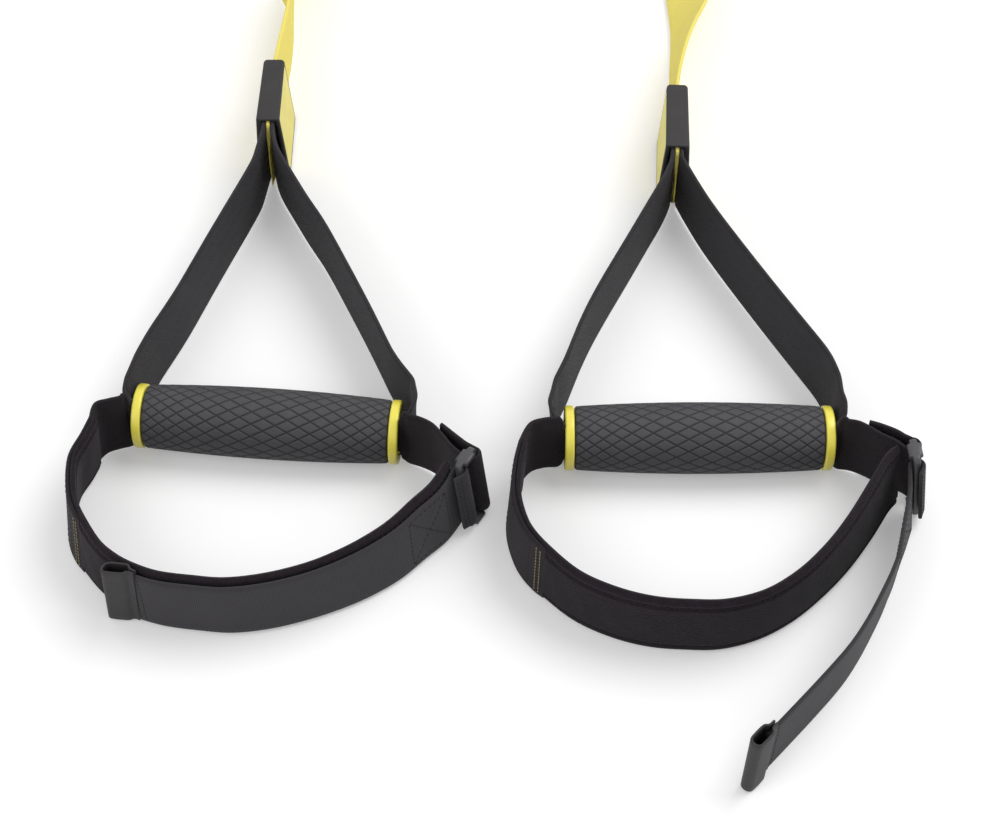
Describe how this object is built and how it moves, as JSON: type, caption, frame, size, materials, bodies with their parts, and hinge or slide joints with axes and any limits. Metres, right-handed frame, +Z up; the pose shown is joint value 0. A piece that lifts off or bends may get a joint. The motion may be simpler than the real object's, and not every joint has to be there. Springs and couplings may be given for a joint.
{
  "type": "suspension trainer",
  "caption": "Suspension trainer: webbing handles with rubber grips and foot cradles on cam-adjusted yellow straps that join at a collar and a carabiner.",
  "frame": {"origin": "on the floor under the middle of the anchor collar, at its flat underside", "axes": "+Z up from the floor that the trainer lies on; -Y towards the handles, +Y towards the carabiner; +X to the right handle"},
  "size_m": [0.4027, 1.2846, 0.0445],
  "materials": {
    "yellow_webbing": "tight plain weave nylon webbing, matt",
    "black_webbing": "tight plain weave nylon webbing, matt",
    "pad_fabric": "brushed knit over foam, matt",
    "grip_rubber": "moulded rubber with a lattice of grooves, satin",
    "black_rubber": "moulded rubber, satin",
    "yellow_plastic": "moulded plastic, satin",
    "black_plastic": "moulded plastic, satin",
    "steel": "brushed",
    "black_metal": "powder coated, satin"
  },
  "bodies": {
    "anchor": {"anchor_strap_left": "black_webbing", "anchor_strap_right": "black_webbing", "anchor_collar": "black_rubber", "anchor_loop": "black_webbing", "cam_frame_left": "black_metal", "cam_pin_left": "steel", "cam_spring_left": "steel", "cam_frame_right": "black_metal", "cam_pin_right": "steel", "cam_spring_right": "steel"},
    "strap_left": {"main_strap_left": "yellow_webbing", "adjustment_tab_left": "black_rubber"},
    "cam_left": {"cam_lever_left": "black_metal"},
    "handle_left": {"strap_end_left": "yellow_webbing", "yoke_sleeve_left": "black_rubber", "yoke_panel_a_left": "yellow_plastic", "yoke_panel_b_left": "yellow_plastic", "handle_webbing_left": "black_webbing"},
    "grip_left": {"grip_rubber_left": "grip_rubber", "grip_tube_left": "black_plastic", "grip_ring_left_left": "yellow_plastic", "grip_ring_right_left": "yellow_plastic"},
    "cradle_left": {"cradle_web_left": "black_webbing", "foot_pad_left": "pad_fabric", "cradle_ring_left": "black_plastic"},
    "closure_left": {"closure_strap_left": "black_webbing", "strap_tab_left": "black_rubber"},
    "strap_right": {"main_strap_right": "yellow_webbing", "adjustment_tab_right": "black_rubber"},
    "cam_right": {"cam_lever_right": "black_metal"},
    "handle_right": {"strap_end_right": "yellow_webbing", "yoke_sleeve_right": "black_rubber", "yoke_panel_a_right": "yellow_plastic", "yoke_panel_b_right": "yellow_plastic", "handle_webbing_right": "black_webbing"},
    "grip_right": {"grip_rubber_right": "grip_rubber", "grip_tube_right": "black_plastic", "grip_ring_left_right": "yellow_plastic", "grip_ring_right_right": "yellow_plastic"},
    "cradle_right": {"cradle_web_right": "black_webbing", "foot_pad_right": "pad_fabric", "cradle_ring_right": "black_plastic"},
    "closure_right": {"closure_strap_right": "black_webbing", "strap_tab_right": "black_rubber"},
    "carabiner": {"carabiner_body": "black_metal", "carabiner_pin": "steel"},
    "gate": {"carabiner_gate": "steel"}
  },
  "joints": [
    {"name": "strap_slide_left", "type": "slide", "parent": "anchor", "child": "strap_left", "axis": [-0.2086, -0.978, 0], "range_m": [0, 0.32]},
    {"name": "cam_press_left", "type": "hinge", "parent": "anchor", "child": "cam_left", "pos_m": [-0.10708, -0.51804, 0.0157], "axis": [0.978, -0.2086, 0], "range_deg": [0, 18], "stiffness_Nm_per_rad": 0.3, "springref_deg": -17.19},
    {"name": "handle_swing_left", "type": "hinge", "parent": "strap_left", "child": "handle_left", "pos_m": [-0.1194, -0.7036, 0.021], "axis": [0, 0, 1], "range_deg": [-80, 0]},
    {"name": "grip_spin_left", "type": "hinge", "parent": "handle_left", "child": "grip_left", "pos_m": [-0.10783, -0.93649, 0.017], "axis": [0.9966, -0.0819, 0], "continuous": true},
    {"name": "cradle_swing_left", "type": "hinge", "parent": "handle_left", "child": "cradle_left", "pos_m": [-0.10783, -0.93649, 0.017], "axis": [0.9966, -0.0819, 0], "range_deg": [-110, 110], "deforming": ["cradle_web_left"]},
    {"name": "closure_peel_left", "type": "hinge", "parent": "cradle_left", "child": "closure_left", "pos_m": [-0.01432, -0.98218, 0.0223], "axis": [-0.1097, 0.0677, 0.9917], "range_deg": [0, 45]},
    {"name": "strap_slide_right", "type": "slide", "parent": "anchor", "child": "strap_right", "axis": [0.2086, -0.978, 0], "range_m": [0, 0.32]},
    {"name": "cam_press_right", "type": "hinge", "parent": "anchor", "child": "cam_right", "pos_m": [0.10708, -0.51804, 0.0157], "axis": [0.978, 0.2086, 0], "range_deg": [0, 18], "stiffness_Nm_per_rad": 0.3, "springref_deg": -17.19},
    {"name": "handle_swing_right", "type": "hinge", "parent": "strap_right", "child": "handle_right", "pos_m": [0.09714, -0.7235, 0.021], "axis": [0, 0, 1], "range_deg": [0, 80]},
    {"name": "grip_spin_right", "type": "hinge", "parent": "handle_right", "child": "grip_right", "pos_m": [0.09553, -0.945, 0.017], "axis": [1, 0, 0], "continuous": true},
    {"name": "cradle_swing_right", "type": "hinge", "parent": "handle_right", "child": "cradle_right", "pos_m": [0.09553, -0.945, 0.017], "axis": [1, 0, 0], "range_deg": [-110, 110], "deforming": ["cradle_web_right"]},
    {"name": "closure_peel_right", "type": "hinge", "parent": "cradle_right", "child": "closure_right", "pos_m": [0.19372, -0.97748, 0.0223], "axis": [-0.1578, -0.0083, 0.9874], "range_deg": [0, 80]},
    {"name": "carabiner_swing", "type": "hinge", "parent": "anchor", "child": "carabiner", "pos_m": [0, 0.066, 0.0075], "axis": [1, 0, 0], "range_deg": [0, 120]},
    {"name": "carabiner_gate", "type": "hinge", "parent": "carabiner", "child": "gate", "pos_m": [0.02496, 0.08761, 0.00696], "axis": [0, 0.025, 0.9997], "range_deg": [0, 25], "stiffness_Nm_per_rad": 0.2, "springref_deg": -17.19}
  ]
}
